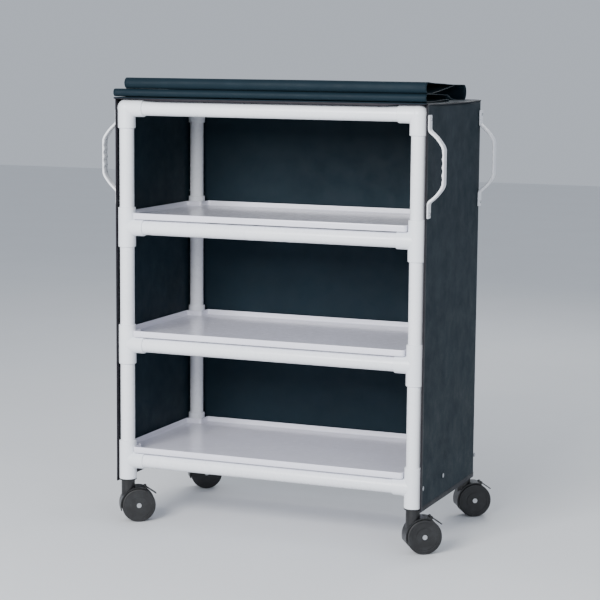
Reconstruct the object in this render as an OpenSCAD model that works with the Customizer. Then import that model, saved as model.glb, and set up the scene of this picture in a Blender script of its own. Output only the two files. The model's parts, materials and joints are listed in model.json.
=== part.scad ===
// Covered linen trolley: a white pipe frame on four twin-wheel casters, with three
// trays, a fabric cover over the top, sides and back, and a front flap that is
// stored folded in four layers on the top.
//
// +X is the trolley's right, +Y its back and +Z up. The origin is on the floor,
// under the middle of the whole trolley.

/* [Frame] */
// Distance between post centres from left to right
frame_w = 895; // [700:5:1200]
// Distance between post centres from front to back
frame_d = 471; // [400:1:600]
// Height of the lowest rails' centres
low_z = 188; // [180:1:220]
// Distance between one level of rails and the next
level_gap = 346; // [320:1:420]
// Distance from the posts' middle to the origin, along Y
frame_shift = 15; // [0:1:30]

/* [Pipe and fittings] */
// Outside diameter of the pipe
pipe_od = 42.2; // [42.2:0.1:42.4]
// Inside diameter of the pipe
pipe_id = 35; // [34:0.1:37]
// Outside diameter of the fittings' sockets
fit_od = 51; // [50:0.1:52]
// Distance from a fitting's centre to the end of each socket
reach = 58; // [55:1:70]
// Depth of each socket
socket_depth = 30; // [25:1:34]
// Clearance between the pipe and its socket, on the radius
socket_fit = 0.05; // [0.02:0.01:0.1]

/* [Trays] */
// Height of a tray from its underside to the top of its rim
tray_h = 18; // [14:1:30]
// Thickness of a tray's floor and rim
tray_t = 2.6; // [2:0.1:4]
// Half side of the square cut out of each corner
tray_notch = 27.5; // [26.5:0.5:40]

/* [Cover] */
// Thickness of the cover fabric
cover_t = 1.5; // [1:0.1:2]
// Height of the cover's hem above the floor
hem_z = 123; // [118:1:140]
// Distance from the front posts' centres to the side panels' front edges
side_lap = 17; // [10:1:22]
// Radius of a snap fastener's cap
snap_r = 6.5; // [5:0.5:8]

/* [Front flap] */
// Thickness of one layer of the flap
flap_t = 2; // [1:0.1:3]
// Heights of the four folded layers above the hinge line
layer_z = [2, 9, 27, 31]; // [1:1:60]
// Distance from the front posts' centres forward to the hinge line
hinge_out = 34; // [31:1:40]
// Distance from the hinge line to the lower back fold
fold_back_lower = 205; // [150:1:400]
// Distance from the hinge line to the upper back fold
fold_back_upper = 375; // [200:1:400]
// Distance from the hinge line to the front fold
fold_front = 8; // [5:1:20]
// Distance from the hinge line to the free edge of the last layer
free_edge = 12; // [10:1:190]

/* [Handles] */
// Length of a handle from end to end
handle_len = 282; // [240:2:320]
// Distance the grip stands off the cover
handle_out = 49; // [40:1:55]
// Width of a handle's grip
handle_w = 25; // [20:1:30]
// Length of each mounting pad
pad_len = 47; // [40:1:50]
// Thickness of each mounting pad
pad_t = 5.5; // [4:0.5:8]

/* [Casters] */
// Diameter of the wheels
wheel_d = 100; // [90:1:100]
// Width over both wheels of one caster
wheels_w = 50; // [46:1:54]
// Distance from the swivel's centre to the axle
trail = 30; // [26:1:32]
// Direction in which the casters trail, turned from +X towards +Y
heading = 33; // [0:1:360]
// Thickness of the housing's middle wall
web_t = 14; // [13:0.5:15]
// Radius of the swivel stem
stem_r = 5; // [4.5:0.1:5.2]
// Radius of the axle
axle_r = 4; // [3.5:0.1:4.5]

/* [Hidden] */
$fn = 48;

// A side is -1 for left or front, and 1 for right or back.
sides = [-1, 1];
levels = [0, 1, 2, 3];
shelf_levels = [0, 1, 2];
top_level = 3;

white = "white";
fabric_colour = "#1f3336";
caster_colour = "#1c1d1f";
steel_colour = "silver";

// Fittings
fit_r = fit_od / 2;
arm_x_r = fit_r - 0.5;
arm_y_r = fit_r - 1;
corner_r = fit_r + 0.7;
lip = 2;
socket_r = pipe_od / 2 + socket_fit;
socket_start = reach - socket_depth;
pipe_start = socket_start + 0.5;
passage_r = pipe_id / 2;
passage_step = 1;
cut = 1;

// Trays
tray_w = frame_w + pipe_od;
tray_d = frame_d + pipe_od;
tray_lift = arm_x_r + 0.05;

// Cover, outside the fittings
cover_in = corner_r + 0.1;
cover_out = cover_in + cover_t;
top_z = low_z + top_level * level_gap;
front_y = -frame_shift - frame_d / 2;
back_y = front_y + frame_d;
snap_t = 1.8;
snap_back_edge = 22;
snap_share = 0.38;

// Front flap: distances are back from and above its hinge line
hinge_y = front_y - hinge_out;
hinge_z = top_z + cover_out + 0.7;
fold_gap = 2;
flap_start = 6;
flap_w = frame_w + 58;

// Handles
handle_z = top_z - handle_len / 2 - 1;
handle_y_shift = 2;
grip_t = 8;
grip_half = 48;
leg_t = 9;
scallop_r = 11;
scallop_gap = 22;
scallops = [-1.5, -0.5, 0.5, 1.5];
overlap = 1;
screw_r = 2.2;
screw_head_r = 4.2;
screw_head_t = 2.2;
screw_len = 14;

// Casters
wheel_r = wheel_d / 2;
wheel_in = web_t / 2 + 0.8;
wheel_out = wheels_w / 2;
wheel_w = wheel_out - wheel_in;
wheel_edge = 4;
hood_in = wheel_r + 2;
hood_out = wheel_r + 5.5;
hood_w = wheels_w - 1;
hood_start = 68;
hood_end = 196;
tee_bottom = low_z - reach;
plug_flange = 3;
head_r = 20;
head_gap = 1.5;
head_top = tee_bottom - plug_flange - head_gap;
head_bottom = wheel_r + 10;
stem_bottom = wheel_r + 30;
washer_r = 12;
washer_gap = 0.3;
web_stem_half = 9;
hub_r = 13;
running = 0.05;
cap_r = 7;
cap_t = 1.6;
cap_recess_r = 8;
brake_angle = 68;
brake_radius = 56.5;
brake_barrel_r = 4;
brake_pin_r = 2;
brake_half = 9;
brake_root = 2.6;
brake_len = 38;
brake_t = 3;
brake_slope = 35;
brake_x = trail + brake_radius * cos(brake_angle);
brake_z = wheel_r + brake_radius * sin(brake_angle);
ear_r = 5;
ear_t = 3;
ear_gap = 0.4;

function level_z(i) = low_z + i * level_gap;
function post_x(sx) = sx * frame_w / 2;
function post_y(sy) = sy < 0 ? front_y : back_y;

module at_post(sx, sy) {
    translate([post_x(sx), post_y(sy), 0])
        children();
}

// ---- Pipes ----

module tube(length) {
    difference() {
        cylinder(d = pipe_od, h = length);
        translate([0, 0, -cut])
            cylinder(d = pipe_id, h = length + 2 * cut);
    }
}

// One post: a length of pipe between each level and the next.
module post(sx, sy) {
    color(white)
    for (i = shelf_levels)
        at_post(sx, sy)
        translate([0, 0, level_z(i) + pipe_start])
            tube(level_gap - 2 * pipe_start);
}

module rail_x(sy, i) {
    color(white)
    translate([-frame_w / 2 + pipe_start, post_y(sy), level_z(i)])
    rotate([0, 90, 0])
        tube(frame_w - 2 * pipe_start);
}

module rail_y(sx, i) {
    color(white)
    translate([post_x(sx), front_y + pipe_start, level_z(i)])
    rotate([-90, 0, 0])
        tube(frame_d - 2 * pipe_start);
}

module rails_back() {
    for (i = levels)
        rail_x(1, i);
}

module rails_side(sx) {
    for (i = levels)
        rail_y(sx, i);
}

// ---- Fittings ----

// A socket arm along +Z with a rounded lip.
module arm(r) {
    rotate_extrude()
        union() {
            square([r, reach - lip]);
            square([r - lip, reach]);
            translate([r - lip, reach - lip])
                intersection() {
                    circle(r = lip);
                    square(lip);
                }
        }
}

// The hole in an arm: the pipe's socket, and a passage to the middle.
module arm_hole(r) {
    translate([0, 0, socket_start])
        cylinder(r = socket_r, h = socket_depth + cut);
    cylinder(r = r, h = reach);
}

module towards_x(sx) {
    rotate([0, -90 * sx, 0])
        children();
}

module towards_y(sy) {
    rotate([90 * sy, 0, 0])
        children();
}

module down() {
    rotate([180, 0, 0])
        children();
}

// A side-outlet elbow at the top of a post.
module elbow(sx, sy) {
    color(white)
    at_post(sx, sy)
    translate([0, 0, top_z])
    difference() {
        union() {
            sphere(r = corner_r);
            down() arm(fit_r);
            towards_x(sx) arm(arm_x_r);
            towards_y(sy) arm(arm_y_r);
        }
        down() arm_hole(passage_r);
        towards_x(sx) arm_hole(passage_r - passage_step);
        towards_y(sy) arm_hole(passage_r - 2 * passage_step);
    }
}

// The three four-way tees on one post.
module tees(sx, sy) {
    color(white)
    for (i = shelf_levels)
        at_post(sx, sy)
        translate([0, 0, level_z(i)])
        difference() {
            union() {
                arm(fit_r);
                down() arm(fit_r);
                towards_x(sx) arm(arm_x_r);
                towards_y(sy) arm(arm_y_r);
            }
            arm_hole(passage_r);
            down() arm_hole(passage_r);
            towards_x(sx) arm_hole(passage_r - passage_step);
            towards_y(sy) arm_hole(passage_r - 2 * passage_step);
        }
}

// ---- Trays ----

module tray_outline(inset) {
    difference() {
        square([tray_w - 2 * inset, tray_d - 2 * inset], center = true);
        for (sx = sides, sy = sides)
            translate([sx * frame_w / 2, sy * frame_d / 2])
                square(2 * (tray_notch + inset), center = true);
    }
}

module shelf(i) {
    color(white)
    translate([0, -frame_shift, level_z(i) + tray_lift])
    difference() {
        linear_extrude(tray_h)
            tray_outline(0);
        translate([0, 0, tray_t])
            linear_extrude(tray_h)
                tray_outline(tray_t);
    }
}

// ---- Cover ----

module cover_top() {
    color(fabric_colour)
    translate([-frame_w / 2 - cover_out, front_y - fit_r, top_z + cover_in])
        cube([frame_w + 2 * cover_out, frame_d + fit_r + cover_out, cover_t]);
}

module cover_side(sx) {
    color(fabric_colour)
    translate([sx * (frame_w / 2 + cover_in + cover_t / 2) - cover_t / 2, front_y - side_lap, hem_z])
        cube([cover_t, frame_d + side_lap + cover_in, top_z + cover_in - hem_z]);
}

module cover_back() {
    color(fabric_colour)
    translate([-frame_w / 2 - cover_out, back_y + cover_in, hem_z])
        cube([frame_w + 2 * cover_out, cover_t, top_z + cover_in - hem_z]);
}

// The caps of the snap fasteners along the lowest rail of both side panels.
module cover_snaps() {
    color(steel_colour)
    for (sx = sides, y = [front_y, front_y + snap_share * frame_d, back_y + snap_back_edge / 2])
        translate([sx * (frame_w / 2 + cover_out), y, low_z])
        rotate([0, 90 * sx, 0])
            cylinder(r = snap_r, h = snap_t);
}

// One folded layer of the front flap, from one distance behind the hinge line to another.
module flap_layer(i, from, to) {
    color(fabric_colour)
    translate([-flap_w / 2, hinge_y + from, hinge_z + layer_z[i] - flap_t / 2])
        cube([flap_w, to - from, flap_t]);
}

module flap_1() {
    flap_layer(0, flap_start, fold_back_lower - fold_gap);
}

module flap_2() {
    flap_layer(1, fold_front + fold_gap, fold_back_lower - fold_gap);
}

module flap_3() {
    flap_layer(2, fold_front + fold_gap, fold_back_upper - fold_gap);
}

module flap_4() {
    flap_layer(3, free_edge, fold_back_upper - fold_gap);
}

// ---- Handles ----

module at_handle(sx, sy) {
    translate([sx * (frame_w / 2 + cover_out), post_y(sy) + handle_y_shift, handle_z])
    mirror([sx < 0 ? 1 : 0, 0, 0])
        children();
}

// Half of the bow's side view: x is the distance from the cover, y the height.
module half_bow() {
    polygon([
        [handle_out - grip_t, -overlap],
        [handle_out, -overlap],
        [handle_out, grip_half],
        [handle_out - grip_t, grip_half + 14],
        [pad_t, handle_len / 2 - pad_len / 2],
        [pad_t, handle_len / 2],
        [0, handle_len / 2],
        [0, handle_len / 2 - pad_len],
        [handle_out - grip_t - leg_t / 2, grip_half],
        [handle_out - grip_t, grip_half - 5]
    ]);
}

module handle(sx, sy) {
    color(white)
    at_handle(sx, sy)
    difference() {
        rotate([90, 0, 0])
        linear_extrude(handle_w, center = true) {
            half_bow();
            mirror([0, 1])
                half_bow();
        }
        for (k = scallops)
            translate([handle_out - grip_t - scallop_r + 1.5, 0, k * scallop_gap])
            rotate([90, 0, 0])
                cylinder(r = scallop_r, h = handle_w + 2 * cut, center = true);
        for (e = sides)
            translate([-cut, 0, e * (handle_len / 2 - pad_len / 4)])
            rotate([0, 90, 0])
                cylinder(r = screw_r + running, h = pad_t + 2 * cut);
    }
}

// A pan-head screw through each mounting pad, the cover and the wall behind it.
module handle_screws() {
    color(steel_colour)
    for (sx = sides, sy = sides, e = sides)
        at_handle(sx, sy)
        translate([pad_t, 0, e * (handle_len / 2 - pad_len / 4)])
        rotate([0, 90, 0]) {
            cylinder(r = screw_head_r, h = screw_head_t);
            translate([0, 0, -screw_len])
                cylinder(r = screw_r, h = screw_len);
        }
}

// ---- Casters ----

// Local X is the direction in which the caster trails.
module at_caster(sx, sy) {
    at_post(sx, sy)
    rotate([0, 0, heading])
        children();
}

// A plug in the bottom socket of each lowest tee, which holds the stem.
module caster_plugs() {
    color(caster_colour)
    for (sx = sides, sy = sides)
        at_post(sx, sy)
        difference() {
            union() {
                translate([0, 0, tee_bottom - plug_flange])
                    cylinder(r = fit_r, h = plug_flange);
                translate([0, 0, tee_bottom - cut])
                    cylinder(r = socket_r - running, h = socket_depth - 1 + cut);
            }
            translate([0, 0, tee_bottom - plug_flange - cut])
                cylinder(r = stem_r + running, h = socket_depth + plug_flange + 2 * cut);
        }
}

module caster_stems() {
    color(steel_colour)
    for (sx = sides, sy = sides)
        at_post(sx, sy) {
            translate([0, 0, stem_bottom])
                cylinder(r = stem_r, h = tee_bottom + socket_depth - 2 - stem_bottom);
            translate([0, 0, head_top + washer_gap])
                cylinder(r = washer_r, h = head_gap - washer_gap);
        }
}

// A cylinder across the caster, centred on its middle plane.
module across(r, h) {
    rotate([90, 0, 0])
        cylinder(r = r, h = h, center = true);
}

module hood_wedge() {
    rotate([90, 0, 0])
    linear_extrude(hood_w, center = true)
        polygon(concat([[0, 0]],
            [for (a = [hood_start : 16 : hood_end]) 2 * hood_out * [cos(a), sin(a)]]));
}

module housing(sx, sy) {
    color(caster_colour)
    at_caster(sx, sy)
    difference() {
        union() {
            // Hood over the front and top of the wheels
            translate([trail, 0, wheel_r])
            intersection() {
                difference() {
                    across(hood_out, hood_w);
                    across(hood_in, hood_w + 2 * cut);
                }
                hood_wedge();
            }
            // Middle wall from the hood to the hub
            intersection() {
                translate([trail, 0, wheel_r])
                    across(hood_in + 1, web_t);
                translate([-web_stem_half, -web_t / 2, wheel_r - hub_r])
                    cube([trail + web_stem_half + hub_r, web_t, 2 * wheel_r]);
            }
            // Swivel head, down to the hood
            difference() {
                translate([0, 0, head_bottom])
                    cylinder(r = head_r, h = head_top - head_bottom);
                translate([trail, 0, wheel_r])
                    across(hood_in, 3 * head_r);
            }
            // Ears for the brake pedal
            for (s = sides)
                translate([brake_x, s * (brake_half + ear_gap + ear_t / 2), brake_z])
                    across(ear_r, ear_t);
        }
        // Bore for the stem
        translate([0, 0, stem_bottom - running])
            cylinder(r = stem_r + running, h = head_top);
        // Bore for the axle
        translate([trail, 0, wheel_r])
            across(axle_r, web_t + 2 * cut);
        // Room for the pedal's barrel, and the hole for its pin
        translate([brake_x, 0, brake_z]) {
            across(brake_barrel_r + 1, 2 * (brake_half + ear_gap));
            across(brake_pin_r, hood_w + 2 * cut);
        }
    }
    color(steel_colour)
    at_caster(sx, sy)
    translate([brake_x, 0, brake_z])
        across(brake_pin_r, 2 * (brake_half + ear_gap + ear_t));
}

module axle(sx, sy) {
    color(steel_colour)
    at_caster(sx, sy)
    translate([trail, 0, wheel_r]) {
        across(axle_r, 2 * wheel_out - 1);
        for (s = sides)
            translate([0, s * (wheel_out - cap_t / 2), 0])
                across(cap_r, cap_t);
    }
}

// Half section of a wheel: x is the radius, y the distance from its inner face.
module wheel_section() {
    difference() {
        union() {
            translate([axle_r + running, 0])
                square([wheel_r - wheel_edge - axle_r - running, wheel_w]);
            square([wheel_r, wheel_w - wheel_edge]);
            translate([wheel_r - wheel_edge, wheel_w - wheel_edge])
                circle(r = wheel_edge);
        }
        square([axle_r + running, wheel_w]);
        // Recess round the axle's cap
        translate([0, wheel_w - cap_t - 0.3])
            square([cap_recess_r, 2 * cap_t]);
        // Groove between the disc and the tread
        translate([wheel_r - 2 * wheel_edge, wheel_w - 0.8])
            square([1.4, 2]);
        // Dished ring of the disc
        translate([wheel_r / 2, wheel_w - 1.2])
            square([wheel_r / 4, 2]);
        // Tyre's inner groove
        translate([wheel_r * 0.3, -cut])
            square([wheel_r * 0.5, cut + 2]);
    }
}

module wheel(sx, sy, s) {
    color(caster_colour)
    at_caster(sx, sy)
    translate([trail, s * wheel_in, wheel_r])
    rotate([-90 * s, 0, 0])
        rotate_extrude()
            wheel_section();
}

// The brake pedal: a barrel on the pin and a sloping tab.
module brake(sx, sy) {
    color(caster_colour)
    at_caster(sx, sy)
    translate([brake_x, 0, brake_z])
    difference() {
        union() {
            across(brake_barrel_r, 2 * brake_half);
            rotate([0, brake_slope, 0])
            translate([brake_root, 0.5 - brake_half, -brake_t / 2 + 1])
                cube([brake_len - brake_root, 2 * brake_half - 1, brake_t]);
        }
        across(brake_pin_r + running, 2 * brake_half + 2 * cut);
    }
}

post(-1, -1);  // post_front_left
post(1, -1);  // post_front_right
post(-1, 1);  // post_back_left
post(1, 1);  // post_back_right
elbow(-1, -1);  // elbow_front_left
elbow(1, -1);  // elbow_front_right
elbow(-1, 1);  // elbow_back_left
elbow(1, 1);  // elbow_back_right
tees(-1, -1);  // tees_front_left
tees(1, -1);  // tees_front_right
tees(-1, 1);  // tees_back_left
tees(1, 1);  // tees_back_right
rail_x(-1, 0);  // rail_front_lower
rail_x(-1, 1);  // rail_front_middle
rail_x(-1, 2);  // rail_front_upper
rail_x(-1, 3);  // rail_front_top
rails_back();
rails_side(-1);  // rails_left
rails_side(1);  // rails_right
shelf(0);  // shelf_lower
shelf(1);  // shelf_middle
shelf(2);  // shelf_upper
cover_top();
cover_side(-1);  // cover_left
cover_side(1);  // cover_right
cover_back();
cover_snaps();
flap_1();
flap_2();
flap_3();
flap_4();
handle(-1, -1);  // handle_front_left
handle(1, -1);  // handle_front_right
handle(-1, 1);  // handle_back_left
handle(1, 1);  // handle_back_right
handle_screws();
caster_plugs();
caster_stems();
housing(-1, -1);  // caster_front_left_housing
axle(-1, -1);  // caster_front_left_axle
brake(-1, -1);  // caster_front_left_brake
wheel(-1, -1, 1);  // caster_front_left_wheel_left
wheel(-1, -1, -1);  // caster_front_left_wheel_right
housing(1, -1);  // caster_front_right_housing
axle(1, -1);  // caster_front_right_axle
brake(1, -1);  // caster_front_right_brake
wheel(1, -1, 1);  // caster_front_right_wheel_left
wheel(1, -1, -1);  // caster_front_right_wheel_right
housing(-1, 1);  // caster_back_left_housing
axle(-1, 1);  // caster_back_left_axle
brake(-1, 1);  // caster_back_left_brake
wheel(-1, 1, 1);  // caster_back_left_wheel_left
wheel(-1, 1, -1);  // caster_back_left_wheel_right
housing(1, 1);  // caster_back_right_housing
axle(1, 1);  // caster_back_right_axle
brake(1, 1);  // caster_back_right_brake
wheel(1, 1, 1);  // caster_back_right_wheel_left
wheel(1, 1, -1);  // caster_back_right_wheel_right
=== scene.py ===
"""Looks of the covered linen trolley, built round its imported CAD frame. Units are metres."""
import json
import math

import bmesh
import bpy
import numpy as np
from mathutils import Matrix, Vector, noise


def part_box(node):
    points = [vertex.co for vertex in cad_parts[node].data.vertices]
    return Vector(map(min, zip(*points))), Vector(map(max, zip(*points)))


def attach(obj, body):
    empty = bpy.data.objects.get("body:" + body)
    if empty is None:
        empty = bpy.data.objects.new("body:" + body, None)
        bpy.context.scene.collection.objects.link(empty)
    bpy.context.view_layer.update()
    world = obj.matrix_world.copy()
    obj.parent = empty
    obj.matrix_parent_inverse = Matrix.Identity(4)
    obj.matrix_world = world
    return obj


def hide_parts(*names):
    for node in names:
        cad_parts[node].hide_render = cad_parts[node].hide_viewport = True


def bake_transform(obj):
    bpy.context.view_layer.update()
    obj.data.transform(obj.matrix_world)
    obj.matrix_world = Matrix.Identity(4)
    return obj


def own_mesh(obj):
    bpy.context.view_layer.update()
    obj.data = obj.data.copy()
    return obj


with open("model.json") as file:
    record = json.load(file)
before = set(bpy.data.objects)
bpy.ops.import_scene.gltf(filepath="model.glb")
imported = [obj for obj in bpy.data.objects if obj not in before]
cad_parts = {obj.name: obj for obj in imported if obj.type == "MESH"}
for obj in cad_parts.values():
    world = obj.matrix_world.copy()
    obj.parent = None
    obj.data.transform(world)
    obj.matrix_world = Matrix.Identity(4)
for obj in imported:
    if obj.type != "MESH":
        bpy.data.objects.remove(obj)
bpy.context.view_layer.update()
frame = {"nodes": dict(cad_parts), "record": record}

SIDES = (-1, 1)
SIDE_NAMES = {-1: "left", 1: "right"}
END_NAMES = {-1: "front", 1: "back"}
LEVELS = ("lower", "middle", "upper")
MM = 0.001


def box(node):
    low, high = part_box(node)
    return np.array(low, float), np.array(high, float)


def middle(node):
    low, high = box(node)
    return (low + high) / 2


# ---- Places, from the CAD frame ----
POST_X = middle("post_front_right")[0]
FRONT_Y = middle("post_front_right")[1]
BACK_Y = middle("post_back_right")[1]
TOP_Z = middle("rail_front_top")[2]
LOW_Z = middle("rail_front_lower")[2]
COVER_OUT = box("cover_right")[1][0] - POST_X
ROOF_Z = box("cover_top")[1][2]
HEM_Z = box("cover_back")[0][2]
LEVEL_STEP = (TOP_Z - LOW_Z) / 3


# ---- Materials ----
def shader(name, colour, roughness, **sockets):
    """A new material; returns it with its nodes, links and Principled shader."""
    material = bpy.data.materials.new(name)
    material.use_nodes = True
    nodes = material.node_tree.nodes
    principled = nodes["Principled BSDF"]
    principled.inputs["Base Color"].default_value = (*colour, 1)
    principled.inputs["Roughness"].default_value = roughness
    for socket, value in sockets.items():
        principled.inputs[socket.replace("_", " ")].default_value = value
    return material, nodes, material.node_tree.links, principled


def object_coordinates(nodes):
    return nodes.new("ShaderNodeTexCoord").outputs["Object"]


def noise_node(nodes, links, vector, scale, detail=4.0, rough=0.6, stretch=None):
    """Noise over vector, which stretch scales along each axis first."""
    if stretch:
        mapping = nodes.new("ShaderNodeMapping")
        mapping.inputs["Scale"].default_value = stretch
        links.new(vector, mapping.inputs["Vector"])
        vector = mapping.outputs["Vector"]
    node = nodes.new("ShaderNodeTexNoise")
    node.inputs["Scale"].default_value = scale
    node.inputs["Detail"].default_value = detail
    node.inputs["Roughness"].default_value = rough
    links.new(vector, node.inputs["Vector"])
    return node.outputs["Fac"]


def ramp(nodes, links, factor, low, high, start=0.3, end=0.7):
    """Two colours, or two values as greys, spread between start and end."""
    node = nodes.new("ShaderNodeValToRGB")
    for element, place, value in zip(node.color_ramp.elements, (start, end), (low, high)):
        element.position = place
        element.color = (*value, 1) if hasattr(value, "__len__") else (value, value, value, 1)
    links.new(factor, node.inputs["Fac"])
    return node.outputs["Color"]


def bump(nodes, links, height, strength, distance, below=None):
    """The normal of a bump from height, over another bump's normal where below is given."""
    node = nodes.new("ShaderNodeBump")
    node.inputs["Strength"].default_value = strength
    node.inputs["Distance"].default_value = distance
    links.new(height, node.inputs["Height"])
    if below is not None:
        links.new(below, node.inputs["Normal"])
    return node.outputs["Normal"]


def white_plastic(name, light, dark, roughness, grain, gloss=0.5):
    """Moulded or extruded white plastic: faint tone changes, handling marks and surface grain."""
    material, nodes, links, principled = shader(name, light, roughness)
    principled.inputs["Specular IOR Level"].default_value = gloss
    vector = object_coordinates(nodes)
    tone = noise_node(nodes, links, vector, 9.0)
    links.new(ramp(nodes, links, tone, dark, light), principled.inputs["Base Color"])
    marks = noise_node(nodes, links, vector, 55.0, detail=6.0, rough=0.7)
    links.new(
        ramp(nodes, links, marks, roughness - 0.07, roughness + 0.09, 0.35, 0.75),
        principled.inputs["Roughness"],
    )
    fine = noise_node(nodes, links, vector, grain, detail=3.0)
    links.new(bump(nodes, links, fine, 0.12, 0.0004), principled.inputs["Normal"])
    return material


def fabric(name, light, dark, roughness, sheen):
    """Coated woven fabric: a two-way weave from the sheet's UVs, with soft creases and wear."""
    material, nodes, links, principled = shader(name, light, roughness)
    principled.inputs["Sheen Weight"].default_value = sheen
    principled.inputs["Sheen Roughness"].default_value = 0.45
    principled.inputs["Sheen Tint"].default_value = (0.55, 0.75, 0.8, 1)
    principled.inputs["Specular IOR Level"].default_value = 0.2
    vector = object_coordinates(nodes)
    uv = nodes.new("ShaderNodeUVMap").outputs["UV"]
    threads = []
    for direction in ("X", "Y"):
        wave = nodes.new("ShaderNodeTexWave")
        wave.bands_direction = direction
        wave.inputs["Scale"].default_value = 260.0
        wave.inputs["Distortion"].default_value = 0.6
        wave.inputs["Detail"].default_value = 1.0
        wave.inputs["Detail Scale"].default_value = 0.4
        links.new(uv, wave.inputs["Vector"])
        threads.append(wave.outputs["Fac"])
    weave = nodes.new("ShaderNodeMath")
    weave.operation = "MULTIPLY"
    links.new(threads[0], weave.inputs[0])
    links.new(threads[1], weave.inputs[1])
    tone = noise_node(nodes, links, vector, 5.0, detail=5.0)
    base = ramp(nodes, links, tone, dark, light, 0.25, 0.75)
    mix = nodes.new("ShaderNodeMix")
    mix.data_type = "RGBA"
    mix.blend_type = "MULTIPLY"
    mix.inputs["Factor"].default_value = 0.35
    links.new(base, mix.inputs["A"])
    links.new(weave.outputs["Value"], mix.inputs["B"])
    links.new(mix.outputs["Result"], principled.inputs["Base Color"])
    worn = noise_node(nodes, links, vector, 22.0, detail=5.0)
    links.new(
        ramp(nodes, links, worn, roughness - 0.08, roughness + 0.1),
        principled.inputs["Roughness"],
    )
    creases = noise_node(nodes, links, vector, 7.0, detail=3.0, stretch=(1, 1, 0.35))
    soft = bump(nodes, links, creases, 0.25, 0.006)
    normal = bump(nodes, links, weave.outputs["Value"], 0.35, 0.00035, soft)
    links.new(normal, principled.inputs["Normal"])
    return material


def dark_plastic(name, light, dark, roughness, grain, strength):
    """Black nylon or rubber with scuffs and dust in its grain."""
    material, nodes, links, principled = shader(name, dark, roughness)
    vector = object_coordinates(nodes)
    scuffs = noise_node(nodes, links, vector, 40.0, detail=8.0, rough=0.7)
    links.new(ramp(nodes, links, scuffs, dark, light, 0.45, 0.8), principled.inputs["Base Color"])
    links.new(
        ramp(nodes, links, scuffs, roughness - 0.08, roughness + 0.15, 0.3, 0.8),
        principled.inputs["Roughness"],
    )
    fine = noise_node(nodes, links, vector, grain, detail=4.0)
    links.new(bump(nodes, links, fine, strength, 0.0005), principled.inputs["Normal"])
    return material


def metal(name, colour, roughness):
    material, nodes, links, principled = shader(name, colour, roughness, Metallic=1.0)
    vector = object_coordinates(nodes)
    brushed = noise_node(nodes, links, vector, 300.0, detail=3.0, stretch=(1, 1, 0.1))
    links.new(
        ramp(nodes, links, brushed, roughness - 0.08, roughness + 0.12),
        principled.inputs["Roughness"],
    )
    links.new(bump(nodes, links, brushed, 0.1, 0.0002), principled.inputs["Normal"])
    return material


PIPE = white_plastic("pipe_white", (0.90, 0.915, 0.95), (0.86, 0.88, 0.92), 0.3, 420.0)
FITTING = white_plastic("fitting_white", (0.89, 0.91, 0.945), (0.84, 0.865, 0.91), 0.34, 700.0)
TRAY = white_plastic("tray_white", (0.83, 0.825, 0.91), (0.79, 0.785, 0.87), 0.2, 900.0, gloss=0.6)
HANDLE = white_plastic("handle_white", (0.90, 0.905, 0.94), (0.85, 0.86, 0.90), 0.36, 600.0)
FABRIC = fabric("cover_green", (0.0045, 0.0205, 0.033), (0.003, 0.015, 0.025), 0.6, 0.02)
BINDING = fabric("binding_dark", (0.016, 0.012, 0.02), (0.01, 0.008, 0.014), 0.45, 0.06)
THREAD = fabric("thread_dark", (0.03, 0.035, 0.04), (0.02, 0.025, 0.03), 0.6, 0.1)
RUBBER = dark_plastic(
    "wheel_rubber", (0.03, 0.032, 0.034), (0.008, 0.008, 0.009), 0.55, 500.0, 0.25
)
NYLON = dark_plastic(
    "caster_nylon", (0.02, 0.021, 0.023), (0.006, 0.006, 0.007), 0.34, 800.0, 0.15
)
STEEL = metal("zinc_steel", (0.55, 0.56, 0.58), 0.35)
SNAP = metal("snap_metal", (0.42, 0.44, 0.47), 0.3)

NODE_MATERIALS = {
    "pipe": PIPE,
    "fitting": FITTING,
    "tray": TRAY,
    "cover_fabric": FABRIC,
    "snap": SNAP,
    "steel": STEEL,
    "handle": HANDLE,
    "wheel": RUBBER,
    "caster_body": NYLON,
}


def paint(thing, material):
    thing.data.materials.clear()
    thing.data.materials.append(material)


for part in frame["record"]["subparts"]:
    paint(frame["nodes"][part["node"]], NODE_MATERIALS[part["material_slot"]])


# ---- Mesh helpers ----
def add_mesh(name, points, faces, material, uvs=None, sharp=40):
    """A new object from points and faces. uvs gives one pair for each point."""
    mesh = bpy.data.meshes.new(name)
    mesh.from_pydata([tuple(p) for p in points], [], faces)
    if uvs is not None:
        layer = mesh.uv_layers.new(name="cloth")
        loops = np.array([uvs[loop.vertex_index] for loop in mesh.loops], np.float32)
        layer.data.foreach_set("uv", loops.ravel())
    mesh.update()
    mesh.polygons.foreach_set("use_smooth", [True] * len(mesh.polygons))
    mesh.set_sharp_from_angle(angle=math.radians(sharp))
    thing = bpy.data.objects.new(name, mesh)
    bpy.context.scene.collection.objects.link(thing)
    thing.data.materials.append(material)
    return thing


def outward(thing):
    """Turns a closed mesh's faces to point out."""
    work = bmesh.new()
    work.from_mesh(thing.data)
    bmesh.ops.recalc_face_normals(work, faces=work.faces)
    work.to_mesh(thing.data)
    work.free()


def grid_faces(rows, columns, wrap=False):
    """Quads of a grid of points stored row by row."""
    faces = []
    for i in range(rows - 1):
        for j in range(columns if wrap else columns - 1):
            k = (j + 1) % columns
            below, above = i * columns, (i + 1) * columns
            faces.append((below + j, below + k, above + k, above + j))
    return faces


def grid_uvs(rows, columns, size, spans):
    """UVs in metres for a grid of points. spans is how many columns go into size's width."""
    return [
        (size[0] * j / spans, size[1] * i / (rows - 1))
        for i in range(rows)
        for j in range(columns)
    ]


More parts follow.
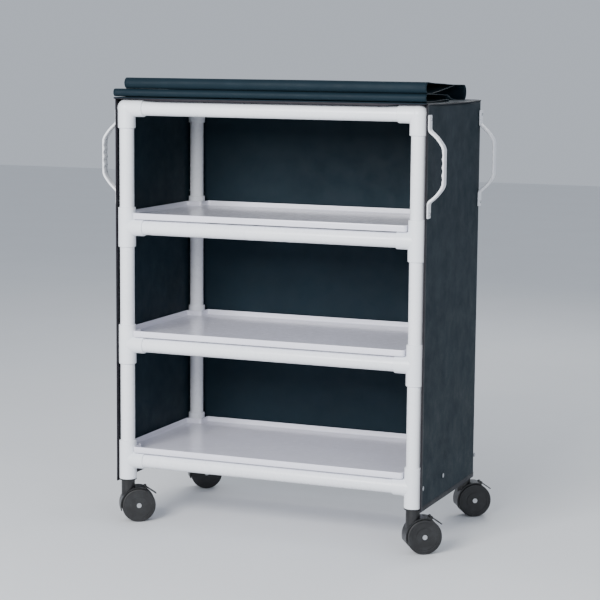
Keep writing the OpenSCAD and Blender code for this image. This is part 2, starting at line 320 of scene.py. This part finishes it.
def tube_mesh(name, rings, material, uvs=None):
    """A closed band through rings of points, capped at both ends."""
    count = len(rings[0])
    faces = grid_faces(len(rings), count, wrap=True)
    faces.append(tuple(reversed(range(count))))
    faces.append(tuple((len(rings) - 1) * count + j for j in range(count)))
    thing = add_mesh(name, [p for ring in rings for p in ring], faces, material, uvs, sharp=50)
    outward(thing)
    return thing


def thicken(thing, thickness):
    """Gives a sheet its two faces and its cut edges, centred on the sheet."""
    solid = thing.modifiers.new("thickness", "SOLIDIFY")
    solid.thickness = thickness
    solid.offset = 0
    solid.use_even_offset = False
    bpy.context.view_layer.objects.active = thing
    thing.select_set(True)
    bpy.ops.object.modifier_apply(modifier=solid.name)
    thing.select_set(False)


def wave(*coordinates):
    """Smooth noise between about -1 and 1."""
    return noise.noise(Vector(coordinates))


# ---- Trays ----
TRAY_NOTCH = 27.5 * MM
TRAY_CORNER = 7 * MM
TRAY_NOTCH_CORNER = 4 * MM
TRAY_TIGHTEST = 0.6 * MM
TRAY_SECTION = (  # (distance in from the outside, height) in mm, from the middle of the underside
    (6.0, 0.0), (2.2, 0.0), (0.7, 0.5), (0.0, 2.0), (0.0, 16.6), (0.35, 17.6), (1.3, 18.0),
    (2.25, 17.6), (2.6, 16.6), (2.8, 9.0), (3.3, 5.6), (4.6, 3.6), (6.6, 2.7), (9.0, 2.6),
)


def arc(cx, cy, radius, start, end, steps=6):
    """Points of an arc, between two angles in degrees."""
    angles = np.radians(np.linspace(start, end, steps + 1))
    return [(cx + radius * math.cos(a), cy + radius * math.sin(a)) for a in angles]


def tray_outline(half_w, half_d, inset):
    """The tray's cross-shaped outline, counterclockwise, moved in by inset."""
    hx, hy = half_w - inset, half_d - inset
    nx, ny = POST_X - TRAY_NOTCH - inset, (BACK_Y - FRONT_Y) / 2 - TRAY_NOTCH - inset
    convex = max(TRAY_CORNER - inset, TRAY_TIGHTEST)
    concave = TRAY_NOTCH_CORNER + inset
    quarter = arc(hx - convex, ny - convex, convex, 0, 90)
    quarter += arc(nx + concave, ny + concave, concave, 270, 180)
    quarter += arc(nx - convex, hy - convex, convex, 0, 90)
    outline = quarter + [(-x, y) for x, y in reversed(quarter)]
    return outline + [(-x, -y) for x, y in quarter] + [(x, -y) for x, y in reversed(quarter)]


def tray(level):
    low, high = box(f"shelf_{level}")
    centre = (low + high) / 2
    half_w, half_d = (high - low)[:2] / 2
    rings = []
    for inset, height in TRAY_SECTION:
        outline = tray_outline(half_w, half_d, inset * MM)
        rings.append([(centre[0] + x, centre[1] + y, low[2] + height * MM) for x, y in outline])
    thing = tube_mesh(f"tray_{level}", rings, TRAY)
    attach(thing, "frame")
    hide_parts(f"shelf_{level}")


for level in LEVELS:
    tray(level)


# ---- Cloth helpers ----
CLOTH = 1.2 * MM


def smooth(t):
    """A smooth step from 0 to 1 as t goes from 0 to 1."""
    t = min(max(t, 0), 1)
    return t * t * (3 - 2 * t)


def near(value, place, reach):
    """1 at a place, falling smoothly to 0 at reach from it."""
    return 1 - smooth(abs(value - place) / reach)


def sheet_mesh(name, rows, size):
    """A thickened sheet from rows of points. size is its flat width and length, for its UVs."""
    columns = len(rows[0])
    points = [p for row in rows for p in row]
    uvs = grid_uvs(len(rows), columns, size, columns - 1)
    thing = add_mesh(name, points, grid_faces(len(rows), columns), FABRIC, uvs, sharp=75)
    thicken(thing, CLOTH)
    return thing


def tape_mesh(name, rings, size):
    """A closed band of binding tape. size is its width round and its length, for its UVs."""
    count = len(rings[0])
    return tube_mesh(name, rings, BINDING, grid_uvs(len(rings), count, size, count))


def folded_tape(half):
    """A tape's section, folded round a cut edge, from the (inward, out) points of one face."""
    return half + [(a, -b) for a, b in reversed(half[1:])]


# ---- Cover: the sides and back in one sheet ----
WALL = COVER_OUT - 0.75 * MM  # from a post's middle to the middle of the fabric
LAP = FRONT_Y - box("cover_right")[0][1]
SIDE_RUN = BACK_Y - FRONT_Y + LAP
TURN = math.pi / 2 * WALL
BACK_RUN = 2 * POST_X
WALLS_RUN = 2 * (SIDE_RUN + TURN) + BACK_RUN
POSTS_AT = (LAP, SIDE_RUN + TURN / 2, SIDE_RUN + 1.5 * TURN + BACK_RUN, WALLS_RUN - LAP)


def wall_place(s):
    """Place and outward direction at a distance s along the walls, from the left front edge."""
    if s <= SIDE_RUN:
        return (-POST_X - WALL, BACK_Y - SIDE_RUN + s), (-1.0, 0.0)
    s -= SIDE_RUN
    if s <= TURN:
        a = math.pi - s / WALL
        nx, ny = math.cos(a), math.sin(a)
        return (-POST_X + WALL * nx, BACK_Y + WALL * ny), (nx, ny)
    s -= TURN
    if s <= BACK_RUN:
        return (-POST_X + s, BACK_Y + WALL), (0.0, 1.0)
    s -= BACK_RUN
    if s <= TURN:
        a = math.pi / 2 - s / WALL
        nx, ny = math.cos(a), math.sin(a)
        return (POST_X + WALL * nx, BACK_Y + WALL * ny), (nx, ny)
    return (POST_X + WALL, BACK_Y - (s - TURN)), (1.0, 0.0)


RIM_DROP = 1.8 * MM


def rim_drop(x, y):
    """How far the cover's top edge sits below its height over the elbows."""
    along = max(min(POST_X - abs(x), 0.2), -0.03), max(min(y - FRONT_Y, BACK_Y - y), -0.03)
    away = max(along) if min(along) < 0.012 else min(along)
    return RIM_DROP * smooth((away - 0.035) / 0.075)


CORNER_FOLDS = (1.15, 2.07, 3.45, 1.265)  # mm, height of the folds that fan out from each corner


def wall_drape(s, z):
    """How far the walls stand out from flat, tight over the posts and loose between them."""
    free = 1.0
    for post in POSTS_AT:
        free *= 1 - near(s, post, 0.15)
    soft = 2.4 * wave(s * 2.7, z * 1.9, 1.3) + 1.2 * wave(s * 7.5, z * 3.1, 5.1) - 0.7
    out = free * max(soft, -2.6)
    top = TOP_Z + 26.5 * MM
    for corner, strength in zip(POSTS_AT, CORNER_FOLDS):
        for side in SIDES:
            reach = (s - corner) * side
            if reach > 0.02:
                away = math.hypot(reach, top - z)
                angle = math.atan2(top - z, reach)
                fold = math.sin(angle * 8.5 + 0.6) * math.exp(-away / 0.11)
                out += strength * fold * near(reach, 0.09, 0.07)
    for level in range(1, 4):
        out *= 1 - 0.35 * near(z, LOW_Z + level * LEVEL_STEP, 0.05)
    hem = near(z, HEM_Z, 0.075)
    out += hem * (1.2 + 2.0 * wave(s * 8.0, 0.4, 8.7)) * (0.25 + 0.75 * free)
    return out * MM


def wall_point(s, z, out=0.0):
    (x, y), (nx, ny) = wall_place(s)
    push = wall_drape(s, z) + out
    return (x + nx * push, y + ny * push, z)


def wall_top(s):
    x, y = wall_place(s)[0]
    return ROOF_Z - 1.0 * MM - rim_drop(x, y)


def walls():
    columns, rows = 190, 96
    grid = []
    for i in range(rows):
        v = i / (rows - 1)
        row = []
        for j in range(columns):
            s = WALLS_RUN * j / (columns - 1)
            row.append(wall_point(s, HEM_Z + v * (wall_top(s) - HEM_Z)))
        grid.append(row)
    size = (WALLS_RUN, ROOF_Z - HEM_Z)
    return sheet_mesh("cover_walls", grid, size), size


def edge_binding(name, s, inward):
    """The binding down a front edge: a folded tape round the cut edge of the fabric."""
    profile = folded_tape([(-0.9, 0.0), (-0.5, 1.2), (0.6, 1.5), (14.5, 1.35), (15.4, 0.9)])
    rings = [
        [wall_point(s + inward * a * MM, z, b * MM) for a, b in profile]
        for z in np.linspace(HEM_Z, wall_top(s), 110)
    ]
    return tape_mesh(name, rings, (0.034, ROOF_Z - HEM_Z))


def hem_binding():
    """The same round the walls' lower edge."""
    profile = folded_tape([(-0.9, 0.0), (-0.5, 1.2), (0.6, 1.45), (12.5, 1.3), (13.3, 0.9)])
    end = 0.4 * MM
    rings = [
        [wall_point(s, HEM_Z + a * MM, b * MM) for a, b in profile]
        for s in np.linspace(end, WALLS_RUN - end, 230)
    ]
    return tape_mesh("hem_binding", rings, (0.03, WALLS_RUN))


STITCH_PITCH = 4.6 * MM
STITCH = (  # (ahead, side, out) in mm
    (-1.6, 0, -0.1), (-1.0, 0.32, 0.3), (-1.0, -0.32, 0.3),
    (1.0, 0.32, 0.3), (1.0, -0.32, 0.3), (1.6, 0, -0.1),
)
STITCH_FACES = ((0, 2, 1), (1, 2, 4, 3), (3, 4, 5), (0, 1, 3, 5), (0, 5, 4, 2))


def add_stitch(points, faces, place, ahead, side, out):
    """One stitch: a small raised bar at place, along ahead."""
    first = len(points)
    place, ahead, side, out = (np.array(v, float) for v in (place, ahead, side, out))
    points += [place + (ahead * a + side * b + out * c) * MM for a, b, c in STITCH]
    faces += [tuple(first + k for k in face) for face in STITCH_FACES]


def cover_stitches():
    """The stitching down both faces of the front edges, and round the hem's outside."""
    points, faces = [], []
    upright = int((TOP_Z + 0.018 - HEM_Z - 0.02) / STITCH_PITCH)
    for s, inward in ((0.0, 1), (WALLS_RUN, -1)):
        normal = wall_place(s)[1]
        for side in (1, -1):
            for i in range(upright):
                z = HEM_Z + 0.016 + i * STITCH_PITCH
                place = wall_point(s + inward * 13.0 * MM, z, side * 1.4 * MM)
                out = (normal[0] * side, normal[1] * side, 0)
                add_stitch(points, faces, place, (0, 0, 1), (0, 1, 0), out)
    for i in range(int(WALLS_RUN / STITCH_PITCH)):
        s = (i + 0.5) * STITCH_PITCH
        nx, ny = wall_place(s)[1]
        place = wall_point(s, HEM_Z + 11 * MM, 1.3 * MM)
        add_stitch(points, faces, place, (-ny, nx, 0), (0, 0, 1), (nx, ny, 0))
    return add_mesh("cover_stitches", points, faces, THREAD)


def piping():
    """The welt along the seam between the roof and the walls."""
    section = arc(0.9 * MM, 0, 1.9 * MM, 0, 324, 9)
    rings = []
    for i in range(240):
        s = WALLS_RUN * i / 239
        (x, y), (nx, ny) = wall_place(s)
        z = wall_top(s) + 0.5 * MM
        rings.append([(x + nx * a, y + ny * a, z + b) for a, b in section])
    return tape_mesh("cover_piping", rings, (0.012, WALLS_RUN))


# ---- Cover: the roof ----
ROOF_FRONT = FRONT_Y - 25.5 * MM
ROOF_SAG = 14 * MM


def roof_z(x, y):
    """Height of the roof's fabric: on the elbows and rails at its edges, sagging in the middle."""
    edge = ROOF_Z - 0.6 * MM - rim_drop(x, y)
    across = min(max((POST_X + 0.008 - abs(x)) / 0.075, 0), 1)
    inward = min(max(min(y - FRONT_Y - 0.02, BACK_Y + 0.008 - y) / 0.075, 0), 1)
    sag = ROOF_SAG * math.sin(across * math.pi / 2) * math.sin(inward * math.pi / 2)
    corner = math.hypot(POST_X - abs(x), min(abs(y - FRONT_Y), abs(BACK_Y - y)))
    sag *= 1 - 0.6 * near(corner, 0, 0.09)
    return edge - sag + 0.9 * MM * inward * wave(x * 5, y * 7, 2.2)


def roof():
    ys = list(np.linspace(ROOF_FRONT, BACK_Y, 60))
    ys += [BACK_Y + WALL * math.sin(math.radians(a)) for a in range(10, 91, 10)]
    grid = []
    for y in ys:
        half = POST_X + math.sqrt(max(WALL**2 - max(y - BACK_Y, 0) ** 2, 0))
        grid.append([(x, y, roof_z(x, y)) for x in np.linspace(-half, half, 110)])
    size = (2 * (POST_X + WALL), BACK_Y + WALL - ROOF_FRONT)
    return sheet_mesh("cover_roof", grid, size), size


def front_tape():
    """The tape that binds the roof's front edge and the flap's seam."""
    rings = []
    half = POST_X + WALL + 0.5 * MM
    for x in np.linspace(-half, half, 120):
        over_elbow = 1 - min(rim_drop(x, FRONT_Y) / RIM_DROP, 1)
        low = 21.4 + 4.9 * over_elbow + 0.4 * wave(x * 9, 3.0, 0)
        high = 29.3
        profile = [(0.2, low), (1.6, low + 0.3), (1.9, low + 1.6), (1.9, high - 1.4)]
        profile += [(1.2, high - 0.3), (0, high), (-0.9, high - 0.4), (-0.9, low + 0.8)]
        rings.append([(x, ROOF_FRONT - (a - 0.2) * MM, TOP_Z + b * MM) for a, b in profile])
    return tape_mesh("cover_front_tape", rings, (0.02, 2 * half))


cover_walls, walls_size = walls()
cover_roof, roof_size = roof()
left_binding = edge_binding("binding_left", 0.0, 1)
right_binding = edge_binding("binding_right", WALLS_RUN, -1)
wall_trim = [left_binding, right_binding, hem_binding(), cover_stitches(), piping()]
roof_trim = [front_tape()]
for thing in [cover_walls, cover_roof, *wall_trim, *roof_trim]:
    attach(thing, "frame")
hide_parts("cover_left", "cover_right", "cover_back")
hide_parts("cover_top")


# ---- Front flap, folded on the roof ----
# Its paths are (distance back from the hinge line, height above it) in mm.
HINGE_Y = box("flap_1")[0][1] - 6 * MM
HINGE_Z = middle("flap_1")[2] - 2 * MM
FLAP_HALF = (box("flap_1")[1][0] - box("flap_1")[0][0]) / 2 - 0.6 * MM
LOWER_SPLIT = 100  # where the lower layers' pieces meet
UPPER_SPLIT = 190  # where the upper layers' pieces meet
HEM_AT = (48, 57.2)  # where the top layer ends and its turned-under hem begins
END_DRIFT = 36.0  # how far the top layer's left end drifts in, in mm


def line(start, end, step=8.0):
    """Points along a straight run, without its end."""
    count = max(int(math.dist(start, end) / step), 1)
    return [
        (start[0] + (end[0] - start[0]) * i / count, start[1] + (end[1] - start[1]) * i / count)
        for i in range(count)
    ]


def polyline(*corners, step=8.0):
    """Straight runs through corners, with the last corner."""
    points = []
    for start, end in zip(corners, corners[1:]):
        points += line(start, end, step)
    return points + [corners[-1]]


def run_length(path):
    return sum(math.dist(a, b) for a, b in zip(path, path[1:])) * MM


def flap_piece(name, path, node, shift, inset=None):
    """One piece of the flap along a path. shift gives each point's (back, up) unevenness in mm."""
    grid = []
    for y, z in path:
        left = -FLAP_HALF + (inset(y, z) if inset else 0) * MM
        row = []
        for x in np.linspace(left, FLAP_HALF, 130):
            dy, dz = shift(x, y, z)
            row.append((x, HINGE_Y + (y + dy) * MM, HINGE_Z + (z + dz) * MM))
        grid.append(row)
    size = (2 * FLAP_HALF, run_length(path))
    thing = sheet_mesh(name, grid, size)
    if node:
        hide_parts(node)
    return thing, size


def blend_between(thing):
    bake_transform(thing)


def inner(y):
    """0 at the split lines and folds, 1 between them."""
    return max(1 - abs(y - 60) / 40, 0)


def lift(amount, seed, nose_at=None, nose=0.0):
    """Unevenness of a layer: up and down in its middle, and back and forth at a fold."""
    def shift(x, y, z):
        dz = amount * inner(y) * wave(x * 4.2, y * 0.011, seed)
        dy = 0.0
        if nose_at is not None:
            dy = nose * near(y, nose_at, 26) * wave(x * 3.3, seed, 0.5)
        return dy, dz
    return shift


LOWER_FRONT, LOWER_BACK = (LOWER_SPLIT, 2.3), (LOWER_SPLIT, 6.4)
UPPER_LOW = (UPPER_SPLIT, 21.5)
SEAM = [(8.3, 0.15), (7.9, 0.35), (7.5, 0.6), (7.2, 0.85), (7.1, 1.1)]
SEAM += [(7.2, 1.35), (7.6, 1.65), (8.3, 1.95), (9.2, 2.15)]
PATH_1 = SEAM + polyline((10.5, 2.2), LOWER_FRONT)
PATH_2 = line(LOWER_FRONT, (197, 2.2)) + arc(198, 5.6, 3.4, -90, 90, 12)
PATH_2 += polyline((197, 9.0), LOWER_BACK)
PATH_3 = line(LOWER_BACK, (18, 5.6)) + arc(16.4, 16.2, 10.7, 270, 90, 20)
PATH_3 += line((17, 26.9), (60, 26.2), 6) + polyline((60, 26.2), UPPER_LOW)
PATH_4 = line(UPPER_LOW, (232, 9.5)) + line((232, 9.5), (290, 4.4)) + line((290, 4.4), (336, 3.6))
PATH_4 += arc(343, 25.4, 21.8, -90, 90, 26)
PATH_4 += polyline((336, 47.4), (272, 48.6), (UPPER_SPLIT, 51.0), (95, 55.4), HEM_AT)
HEM_PATH = line(HEM_AT, (24, 59.2), 4) + arc(21.5, 43.8, 15.4, 90, 270, 22)
HEM_PATH += line((24, 28.5), (62, 28.4), 5) + polyline((62, 28.4), (150, 36.0), (246, 46.2))


def end_drift(y):
    return END_DRIFT * min(max((345 - y) / 310, 0), 1) ** 1.4


def tier_inset(y, z):
    """The top layer's left end drifts in towards its free edge."""
    return end_drift(y) if z > 45 else 0.0


def hem_inset(y, z):
    """The hem's left end goes on from the top layer's, and then keeps its place."""
    return end_drift(min(y, HEM_AT[0]))


def top_wave(x, y):
    return 1.1 * wave(x * 3.1, y * 0.012, 4.4)


def top_shift(x, y, z):
    return 0.0, max(top_wave(x, y) * min(max((z - 45) / 5, 0), 1), -1.0)


def hem_shift(x, y, z):
    sag = 1.6 * wave(x * 5.3, 1.7, z * 0.05) * near(z, 42, 15)
    return sag, max(top_wave(x, HEM_AT[0]), -1.0) * min(max((z - 40) / 15, 0), 1)


flap = []
flap.append(flap_piece("flap_lowest", PATH_1, "flap_1", lift(0.25, 2.2)))
flap.append(flap_piece("flap_back_fold", PATH_2, "flap_2", lift(0.2, 3.1, 200, 2.0)))
flap.append(flap_piece("flap_front_fold", PATH_3, "flap_3", lift(0.5, 4.7, 8, 1.2)))
flap.append(flap_piece("flap_top", PATH_4, "flap_4", top_shift, tier_inset))
flap.append(flap_piece("flap_hem", HEM_PATH, None, hem_shift, hem_inset))
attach(flap[4][0], "flap_4")
blend_between(flap[0][0])
blend_between(flap[1][0])
blend_between(flap[2][0])
blend_between(flap[3][0])
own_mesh(flap[4][0])


# ---- Handles ----
HANDLE_Z = middle("handle_front_right")[2]
HANDLE_SPINE = (  # (height, distance out, half thickness, half width) in mm, from the middle up
    (0, 45.0, 4.0, 12.5), (48, 45.0, 4.0, 12.5), (57, 41.5, 4.0, 12.3), (66, 35.5, 3.9, 12.0),
    (78, 26.0, 3.8, 11.8), (88, 15.5, 3.9, 12.0), (93, 9.0, 4.2, 12.6), (97, 4.6, 3.9, 13.3),
    (102, 2.85, 2.85, 13.5), (136, 2.85, 2.85, 13.5), (140.2, 2.7, 2.7, 12.6),
    (141, 2.6, 2.2, 11.5),
)
HANDLE_END = HANDLE_SPINE[-1][0]
HANDLE_FOOT = 86  # mm from the middle, where the closer rings of the bends and pads begin
HANDLE_HEIGHTS = np.unique(np.round(np.concatenate((
    np.linspace(-HANDLE_END, -HANDLE_FOOT, 40),
    np.linspace(-HANDLE_FOOT, HANDLE_FOOT, 120),
    np.linspace(HANDLE_FOOT, HANDLE_END, 40),
)), 3))
SQUARENESS = 0.55  # 1 is an ellipse, 0 a rectangle
SLOPE_STEP = 1.5  # mm either side, to find the spine's slope
GRIP_HALF = 50  # mm, half the length of the finger grooves
GROOVE_PITCH = 22
GROOVE_DEPTH = 3.1


def spine_at(height):
    """Distance out, half thickness and half width at a height from the middle."""
    heights, *values = zip(*HANDLE_SPINE)
    return [float(np.interp(abs(height), heights, column)) for column in values]


def smooth_spine(height, reach=2.6):
    """The same, as a mean over a short stretch, which rounds the bends."""
    stretch = [height + reach * k for k in (-1, -0.5, 0, 0.5, 1)]
    samples = [spine_at(max(min(h, HANDLE_END), -HANDLE_END)) for h in stretch]
    return [sum(s[i] for s in samples) / len(samples) for i in range(3)]


def slope_at(height):
    ahead = smooth_spine(min(height + SLOPE_STEP, HANDLE_END))[0]
    behind = smooth_spine(max(height - SLOPE_STEP, -HANDLE_END))[0]
    return math.atan2(ahead - behind, 2 * SLOPE_STEP)


def groove_at(height):
    """Depth of the finger grooves, which run out towards the bends."""
    if abs(height) >= GRIP_HALF:
        return 0.0
    ripple = 0.5 + 0.5 * math.cos(2 * math.pi * (abs(height) - GROOVE_PITCH / 2) / GROOVE_PITCH)
    return GROOVE_DEPTH * ripple * near(height, 0, 56) ** 0.4


def rounded(turn, half):
    """One coordinate of a rounded rectangle's outline, where turn is its angle's cosine or sine."""
    return math.copysign(abs(turn) ** SQUARENESS, turn) * half


def handle(sx, sy):
    """A bow handle: its pads on the side panel, and its grip with finger grooves inside."""
    name = f"handle_{END_NAMES[sy]}_{SIDE_NAMES[sx]}"
    x0 = sx * (POST_X + COVER_OUT)
    y0 = middle(name)[1]
    rings = []
    for h in HANDLE_HEIGHTS:
        out, thick, wide = smooth_spine(h)
        slope, groove = slope_at(h), groove_at(h)
        ring = []
        for a in np.linspace(0, 2 * math.pi, 28, endpoint=False):
            p, q = rounded(math.cos(a), thick), rounded(math.sin(a), wide)
            if p < 0:
                p += groove * (abs(p) / thick)
            x = x0 + sx * (out + p * math.cos(slope)) * MM
            ring.append((x, y0 + q * MM, HANDLE_Z + (h - p * math.sin(slope)) * MM))
        rings.append(ring)
    thing = tube_mesh(f"bow_{END_NAMES[sy]}_{SIDE_NAMES[sx]}", rings, HANDLE)
    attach(thing, "frame")
    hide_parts(name)


for sx in SIDES:
    for sy in SIDES:
        handle(sx, sy)


# ---- Camera, lights and floor ----
CAMERA_AT = (2.1085, -5.1231, 1.4063)
AIM = (0, 0, 0.7)
CAMERA_YAW = 22.393
CAMERA_PITCH = -7.673
CAMERA_ROLL = 0.469
CAMERA_LENS = 112.88


def add_camera():
    yaw, pitch, roll = (math.radians(a) for a in (CAMERA_YAW, CAMERA_PITCH, CAMERA_ROLL))
    level = math.cos(pitch)
    ahead = Vector((-math.sin(yaw) * level, math.cos(yaw) * level, math.sin(pitch)))
    right = Vector((math.cos(yaw), math.sin(yaw), 0))
    up = right.cross(ahead)
    across = math.cos(roll) * right + math.sin(roll) * up
    upward = math.cos(roll) * up - math.sin(roll) * right
    data = bpy.data.cameras.new("camera")
    data.sensor_width = 36
    data.lens = CAMERA_LENS
    camera = bpy.data.objects.new("camera", data)
    turn = Matrix((across, upward, -ahead)).transposed().to_4x4()
    camera.matrix_world = Matrix.Translation(CAMERA_AT) @ turn
    bpy.context.scene.collection.objects.link(camera)
    bpy.context.scene.camera = camera


def add_light(name, place, target, size, power, colour=(1, 1, 1)):
    data = bpy.data.lights.new(name, "AREA")
    data.shape = "RECTANGLE"
    data.size, data.size_y = size
    data.energy = power
    data.color = colour
    light = bpy.data.objects.new(name, data)
    light.location = place
    light.rotation_mode = "QUATERNION"
    light.rotation_quaternion = (Vector(target) - Vector(place)).to_track_quat("-Z", "Y")
    bpy.context.scene.collection.objects.link(light)


def add_floor():
    half = 14.0
    corners = [(-half, -half, 0), (half, -half, 0), (half, half, 0), (-half, half, 0)]
    material, nodes, links, principled = shader("floor", (0.78, 0.79, 0.80), 0.6)
    mottle = noise_node(nodes, links, object_coordinates(nodes), 2.0)
    links.new(
        ramp(nodes, links, mottle, (0.77, 0.78, 0.79), (0.79, 0.80, 0.81)),
        principled.inputs["Base Color"],
    )
    add_mesh("floor", corners, [(0, 1, 2, 3)], material)


def add_surroundings():
    world = bpy.data.worlds.new("studio")
    world.use_nodes = True
    background = world.node_tree.nodes["Background"]
    background.inputs["Color"].default_value = (0.82, 0.89, 1.0, 1)
    background.inputs["Strength"].default_value = 0.62
    bpy.context.scene.world = world


add_camera()
add_light("key", (-0.6, -4.6, 2.6), AIM, (2.4, 1.8), 330)
add_light("fill", (3.4, -3.4, 2.0), AIM, (2.0, 2.0), 32, (0.88, 0.94, 1.0))
add_light("back", (0.5, 3.5, 3.2), AIM, (2.5, 1.5), 60)
add_floor()
add_surroundings()
